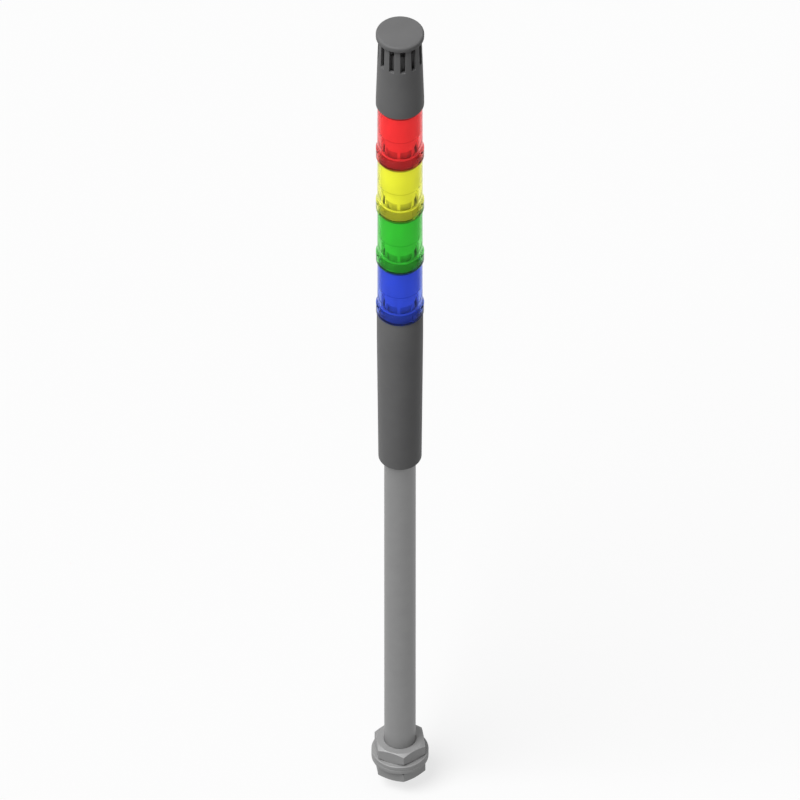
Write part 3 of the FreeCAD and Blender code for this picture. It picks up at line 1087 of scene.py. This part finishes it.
@dataclass
class LensTier(Stacked):
    """One coloured tier with all that is inside it."""

    colour: TierColour
    clear_bore: float = 11.7 * MM
    upper_bore: float = 12.7 * MM
    foot: float = 14.15 * MM
    top: float = 14.03 * MM
    collar_height: float = 7.0 * MM
    edge: float = 0.25 * MM
    clear_top: float = 21.9 * MM
    floor_thickness: float = 3.0 * MM
    tolerance: float = 0.01 * MM
    frost_reach: float = 0.1 * MM
    diffuser_gap: float = 0.15 * MM
    diffuser_wall: float = 1.0 * MM
    diffuser_round: float = 0.2 * MM
    ledge: float = 10.75 * MM
    ledge_low: float = 20.1 * MM
    ledge_high: float = 20.9 * MM
    window_low: float = 3.0 * MM
    window_high: float = 11.3 * MM
    window_count: int = 6
    stem_half_deg: float = 5.7
    stem_turn_deg: float = 18.0
    core_edge: float = 0.15 * MM
    led_count: int = 6
    led_ring: float = 10.7 * MM
    led_half: float = 0.6 * MM

    def __post_init__(self) -> None:
        """Takes the tier's place from the frame."""
        self.name = self.colour.value
        self.lens_node = "lens_" + self.name
        self.body = "tier_" + self.name
        self.stand(self.lens_node)
        pitch = 360 / self.window_count
        self.stems = [self.stem_turn_deg + pitch * index for index in range(self.window_count)]

    def in_lens(self, layer: int, degrees: float, height: float) -> bool:
        """Whether a cell is part of the lens.

        Args:
            layer: Its layer, from the clear bore out.
            degrees: Direction of its middle.
            height: Height of its middle above the seat.

        Returns:
            True in the clear band, the wall and the collar.
        """
        if layer == 0:
            return self.cuts.top < height < self.clear_top
        if layer == 1:
            return not self.cuts.is_cut(degrees, height)
        return layer == 2 or height < self.collar_height

    def lens(self) -> None:
        """Makes the coloured moulding with its collar and bayonet cuts."""
        cuts = self.cuts
        radii = [
            level(self.clear_bore),
            tapered((cuts.top, cuts.wall), (self.clear_top, self.upper_bore)),
            level(cuts.depth),
            tapered((self.collar_height, self.foot), (self.height, self.top)),
            level(outer_radius(self.lens_node)),
        ]
        above_cuts = (self.collar_height, self.clear_top, self.height)
        heights = (0.0, cuts.run_low, cuts.run_high, cuts.top, *above_cuts)
        columns = with_radial(EVEN_COLUMNS, cuts.edges(), cuts.wall)
        name = self.lens_node + "_moulding"
        obj = CellRing(name, self.seat, radii, heights, columns, self.in_lens).build()
        tint, reach = TINTS[self.colour], self.upper_bore + self.frost_reach
        dress(obj, LensPlastic(self.lens_node + "_clear_plastic", tint).material())
        frosted = LensPlastic(self.lens_node + "_frosted_plastic", tint, frost_inside_of=reach)
        obj.data.materials.append(frosted.material())
        frost_from = self.seat + self.clear_top + self.tolerance
        for face in obj.data.polygons:
            face.material_index = int(face.center.z > frost_from)
        round_edges(obj, self.edge, 3)
        seat(obj, self.body, self.lens_node)

    def diffuser(self) -> None:
        """Makes the frosted sleeve."""
        node = "diffuser_" + self.name
        outer = self.upper_bore - self.diffuser_gap
        inner = outer - self.diffuser_wall
        low = self.seat + self.clear_top
        high = self.seat + self.height - self.floor_thickness
        outline = [
            (inner, low),
            *arc((outer, low), self.diffuser_round, -90, 3),
            *arc((outer, high), self.diffuser_round, 0, 3),
            (inner, high),
        ]
        obj = turned(node + "_sleeve", outline, DIFFUSER_PLASTIC)
        obj.data.set_sharp_from_angle(angle=BLUNT_ANGLE)
        seat(obj, self.body, node)

    def in_core(self, layer: int, degrees: float, height: float) -> bool:
        """Whether a cell is part of the core.

        Args:
            layer: 0 for the tube and 1 for the ledge.
            degrees: Direction of its middle.
            height: Height of its middle above the seat.

        Returns:
            True in the ledge and in the tube outside its windows.
        """
        if layer == 1:
            return self.ledge_low < height < self.ledge_high
        in_windows = self.window_low < height < self.window_high
        return not in_windows or near_any(degrees, self.stems, self.stem_half_deg)

    def inner_core(self) -> None:
        """Makes the inner tube with its ledge and windows."""
        node = "core_" + self.name
        top = self.height - self.floor_thickness
        heights = (self.core_foot, self.window_low, self.window_high, self.ledge_low, self.ledge_high, top)
        radii = [level(self.core_bore), level(self.core), level(self.ledge)]
        columns = with_radial(EVEN_COLUMNS, both_sides(self.stems, self.stem_half_deg), self.core)
        obj = CellRing(node + "_tube", self.seat, radii, heights, columns, self.in_core).build()
        dress(obj, CORE_PLASTIC.material())
        round_edges(obj, self.core_edge)
        seat(obj, self.body, node)

    def leds(self) -> None:
        """Makes the ring of light-emitting diodes."""
        node = "leds_" + self.name
        low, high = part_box(node)
        case = led_package(self.led_half, high.z - low.z)
        obj = mesh_object(node + "_ring", [(0.0, 0.0, 0.0)])
        run_tree(obj, ring_tree(), {
            "Copy": case,
            "Count": self.led_count,
            "Radius": self.led_ring,
            "Height": low.z,
            "Material": CHIP_RESIN.material(),
        })
        bpy.data.objects.remove(case)
        seat(obj, self.body, node)

    def build(self) -> None:
        """Makes the tier's pieces and dresses the rest."""
        self.lens()
        self.diffuser()
        self.inner_core()
        self.leds()
        Coupler("coupler_" + self.name, self.body).build()
        keep(BOARD_MASK, "led_board_" + self.name)
        keep(SEAL_RUBBER, "seal_" + self.name)
        keep(None, "contact_pads_" + self.name, "contact_springs_" + self.name)
        keep(BLOCK_PLASTIC, "contact_block_" + self.name)


def led_package(half: float, height: float) -> Object:
    """One surface-mounted diode: a square case with drawn-in sides and a domed top.

    Args:
        half: Half of its width.
        height: Its height.

    Returns:
        The object, standing on the origin.
    """
    shoulder, rim = 0.45 * height, 0.6 * height
    rim_half, dome = 0.86 * half, 0.8 * half
    dome_steps, count = 4, 16

    def square(reach: float) -> Line:
        """Distance to the side of a square, by direction."""
        return lambda angle: reach / max(abs(math.cos(angle)), abs(math.sin(angle)))

    profile = [(square(half), level(0.0)), (square(half), level(shoulder)), (square(rim_half), level(rim))]
    for step in range(1, dome_steps + 1):
        climb = math.pi / 2 * step / (dome_steps + 1)
        profile.append((level(dome * math.cos(climb)), level(rim + (height - rim) * math.sin(climb))))
    rings = [corner_ring(*lines, count) for lines in profile]
    return lofted("led_package", rings, (0.0, 0.0, height))


@dataclass
class Sounder(Stacked):
    """The slotted housing on top with its drum and cap."""

    foot: float = 15.0 * MM
    top: float = 13.45 * MM
    foot_band: float = 4.7 * MM
    wall: float = 2.2 * MM
    ledge_bore: float = 11.3 * MM
    ledge_top: float = 9.0 * MM
    slot_count: int = 12
    slot_width: float = 3.1 * MM
    slot_height: float = 18.7 * MM
    between_slots_deg: tuple[float, ...] = (9, 11, 13, 15, 17, 19, 21)
    flange: float = 1.5 * MM
    flange_gap: float = 0.3 * MM
    plate: float = 1.5 * MM
    port: float = 4.5 * MM
    edge: float = 0.3 * MM
    drum_round: float = 0.5 * MM
    cap_round: float = 1.5 * MM
    cap_edge: float = 0.3 * MM
    cap_plug_wall: float = 1.5 * MM
    cap_plug_gap: float = 0.15 * MM

    def __post_init__(self) -> None:
        """Takes the sounder's place from the frame."""
        self.stand("sounder_housing")
        self.outer = tapered((self.foot_band, self.foot), (self.height, self.top))
        self.slot_low = self.height - self.slot_height
        self.slots = [360 / self.slot_count * index for index in range(self.slot_count)]

    def in_housing(self, layer: int, degrees: float, height: float) -> bool:
        """Whether a cell is part of the housing.

        Args:
            layer: Its layer, from the ledge out.
            degrees: Direction of its middle.
            height: Height of its middle above the seat.

        Returns:
            True in the ledge and in the wall outside slots and bayonet cuts.
        """
        slot_half_deg = math.degrees(math.asin(self.slot_width / 2 / self.foot))
        if height > self.slot_low and near_any(degrees, self.slots, slot_half_deg):
            return False
        if layer == 0:
            return self.cuts.top < height < self.ledge_top
        return layer == 2 or not self.cuts.is_cut(degrees, height)

    def housing(self) -> None:
        """Makes the slotted moulding, with parallel edges at each slot and radial ones between."""
        cuts = self.cuts
        above_ledge = self.outer(self.ledge_top) - self.wall
        top_bore = self.top - self.wall
        radii = [
            level(self.ledge_bore),
            tapered((cuts.top, cuts.wall), (self.ledge_top, above_ledge), (self.height, top_bore)),
            tapered((cuts.top, cuts.depth), (self.height, top_bore + self.wall / 2)),
            self.outer,
        ]
        heights = (0.0, cuts.run_low, cuts.run_high, cuts.top, self.ledge_top, self.slot_low, self.height)
        middles = [math.radians(slot) for slot in self.slots]
        offsets = [self.slot_width / 2 * share for share in (-1, -1 / 3, 1 / 3, 1)]
        steps = [math.radians(step) for step in self.between_slots_deg]
        columns = [Column(middle, offset) for middle in middles for offset in offsets]
        columns += [Column(middle + step) for middle in middles for step in steps]
        columns = with_radial(columns, cuts.edges(), cuts.wall)
        name = "sounder_housing_moulding"
        obj = CellRing(name, self.seat, radii, heights, columns, self.in_housing).build()
        dress(obj, DARK_PLASTIC.material())
        round_edges(obj, self.edge)
        seat(obj, "sounder", "sounder_housing")

    def drum(self) -> None:
        """Makes the drum that stands on the housing's ledge."""
        ledge = self.seat + self.ledge_top
        flange_radius = self.outer(self.ledge_top) - self.wall - self.flange_gap
        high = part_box("sounder_core")[1].z
        outline = [
            (self.core_bore, self.seat + self.core_foot),
            (self.core, self.seat + self.core_foot),
            (self.core, ledge),
            (flange_radius, ledge),
            (flange_radius, ledge + self.flange),
            (self.core, ledge + self.flange),
            *arc((self.core, high), self.drum_round, 0, 4),
            (self.port, high),
            (self.port, high - self.plate),
            (self.core_bore, high - self.plate),
        ]
        obj = turned("sounder_drum", outline, DRUM_PLASTIC)
        obj.data.set_sharp_from_angle(angle=SHARP_ANGLE)
        seat(obj, "sounder", "sounder_core")

    def cap(self) -> None:
        """Makes the cap."""
        low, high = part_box("sounder_cap")
        foot = self.seat + self.height
        plug = self.top - self.wall - self.cap_plug_gap
        outline = [
            (0.0, foot),
            (plug - self.cap_plug_wall, foot),
            (plug - self.cap_plug_wall, low.z),
            (plug, low.z),
            (plug, foot),
            *arc((high.x, foot), self.cap_edge, -90, 3),
            *arc((high.x, high.z), self.cap_round, 0, 8),
            (0.0, high.z),
        ]
        obj = turned("sounder_cap_moulding", outline, DARK_PLASTIC)
        obj.data.set_sharp_from_angle(angle=SHARP_ANGLE)
        seat(obj, "sounder", "sounder_cap")

    def build(self) -> None:
        """Makes the sounder's pieces and dresses the rest."""
        self.housing()
        self.drum()
        self.cap()
        keep(BOARD_MASK, "sounder_board")
        keep(BLACK_PLASTIC, "sounder_buzzer", "contact_block_sounder")
        keep(None, "contact_springs_sounder")


# Studio


@dataclass
class Studio:
    """Floor, lamps, world and camera."""

    floor_height: float = -7.0 * MM
    floor_half: float = 6.0
    azimuth_deg: float = -7.6
    elevation_deg: float = 44.0
    aim_height: float = 323.25 * MM
    view_width: float = 499 * MM
    lens_mm: float = 1650.0
    sensor_mm: float = 36.0
    world_level: float = 0.25
    backdrop_level: float = 0.97
    key_share: float = 1.0
    key_softness_deg: float = 36.0
    key_from: Place = (-0.43, -0.25, 0.87)
    fill_share: float = 0.022
    fill_softness_deg: float = 40.0
    fill_from: Place = (0.8, -0.5, 0.35)
    floor_albedo: float = 0.22
    floor_glow: float = 0.73

    def empty_sheet(self, owner: bpy.types.World | Material) -> Sheet:
        """Sheet of a world or material, with no nodes yet.

        Args:
            owner: The world or material.

        Returns:
            The sheet.
        """
        owner.use_nodes = True
        owner.node_tree.nodes.clear()
        return Sheet(owner.node_tree)

    def seen_directly(self, sheet: Sheet) -> NodeSocket:
        """Adds nodes that tell camera, glossy and transmission rays from the rest.

        Args:
            sheet: Where the nodes go.

        Returns:
            Mask of those rays.
        """
        path = sheet.add("ShaderNodeLightPath").outputs
        mirrored = sheet.math("MAXIMUM", path["Is Glossy Ray"], path["Is Transmission Ray"])
        return sheet.math("MAXIMUM", path["Is Camera Ray"], mirrored)

    def world(self) -> None:
        """White to the eye and in reflections, a plain level as light."""
        world = bpy.data.worlds.new("studio_world")
        sheet = self.empty_sheet(world)
        light = sheet.add("ShaderNodeBackground", {"Color": WHITE, "Strength": self.world_level})
        backdrop = sheet.add("ShaderNodeBackground", {"Color": WHITE, "Strength": self.backdrop_level})
        mix = sheet.mixed(self.seen_directly(sheet), light, backdrop)
        sheet.add("ShaderNodeOutputWorld", {"Surface": mix.outputs[0]})
        bpy.context.scene.world = world

    def floor(self) -> Object:
        """Pale floor that shows the light's shadow and is clear from below.

        Returns:
            The floor.
        """
        h, z = self.floor_half, self.floor_height
        obj = mesh_object("studio_floor", [(-h, -h, z), (h, -h, z), (h, h, z), (-h, h, z)], [(0, 1, 2, 3)])
        material = bpy.data.materials.new("studio_floor_white")
        sheet = self.empty_sheet(material)
        matt = sheet.add("ShaderNodeBsdfDiffuse", {"Color": (*[self.floor_albedo] * 3, 1.0)})
        glow = sheet.add("ShaderNodeEmission", {"Color": WHITE, "Strength": self.floor_glow})
        both = sheet.add("ShaderNodeAddShader", {0: matt.outputs[0], 1: glow.outputs[0]})
        seen = sheet.mixed(self.seen_directly(sheet), matt, both)
        back = sheet.add("ShaderNodeNewGeometry").outputs["Backfacing"]
        mix = sheet.mixed(back, seen, sheet.add("ShaderNodeBsdfTransparent"))
        sheet.add("ShaderNodeOutputMaterial", {"Surface": mix.outputs[0]})
        dress(obj, material)
        return obj

    def stand_off(self, obj: Object, back: Vector, distance: float) -> None:
        """Turns a lamp or camera to the middle of the view, from a direction and a distance."""
        obj.location = Vector((0, 0, self.aim_height)) + back * distance
        obj.rotation_euler = back.to_track_quat("Z", "Y").to_euler()

    def lamp(self, name: str, start: Place, softness_deg: float, share: float) -> None:
        """Adds a lamp that lights the whole scene evenly.

        Args:
            name: Name of the lamp.
            start: Direction that it shines from.
            softness_deg: Width of the lamp as the light sees it.
            share: Brightness that it gives a white surface facing it.
        """
        data = bpy.data.lights.new(name, "SUN")
        data.angle = math.radians(softness_deg)
        data.energy = share * math.pi
        self.stand_off(new_object(name, data), Vector(start).normalized(), 1.0)

    def camera(self) -> None:
        """Makes the camera, at the photograph's angle."""
        data = bpy.data.cameras.new("camera")
        data.lens = self.lens_mm
        data.sensor_width = self.sensor_mm
        distance = self.view_width * self.lens_mm / self.sensor_mm
        data.clip_end = 2 * distance
        side, up = math.radians(self.azimuth_deg), math.radians(self.elevation_deg)
        back = Vector((math.sin(side) * math.cos(up), -math.cos(side) * math.cos(up), math.sin(up)))
        camera = new_object("camera", data)
        self.stand_off(camera, back, distance)
        bpy.context.scene.camera = camera

    def build(self) -> None:
        """Makes the studio."""
        self.world()
        self.lamp("key_lamp", self.key_from, self.key_softness_deg, self.key_share)
        self.lamp("fill_lamp", self.fill_from, self.fill_softness_deg, self.fill_share)
        self.camera()
        self.floor()
        bpy.context.scene.view_settings.view_transform = "Standard"
        logger.info("studio is ready")


def plain(box: Sequence[Sequence[float]]) -> list[list[float]]:
    """A box as plain lists."""
    return [[float(value) for value in corner] for corner in box]


def main() -> None:
    """Builds the light from its foot up, then the studio."""
    PoleFoot().build()
    BodyTube().build()
    for colour in TierColour:
        LensTier(colour).build()
    Sounder().build()
    Studio().build()


if __name__ == "__main__":
    logging.basicConfig(level=logging.INFO, format="%(message)s")
    main()
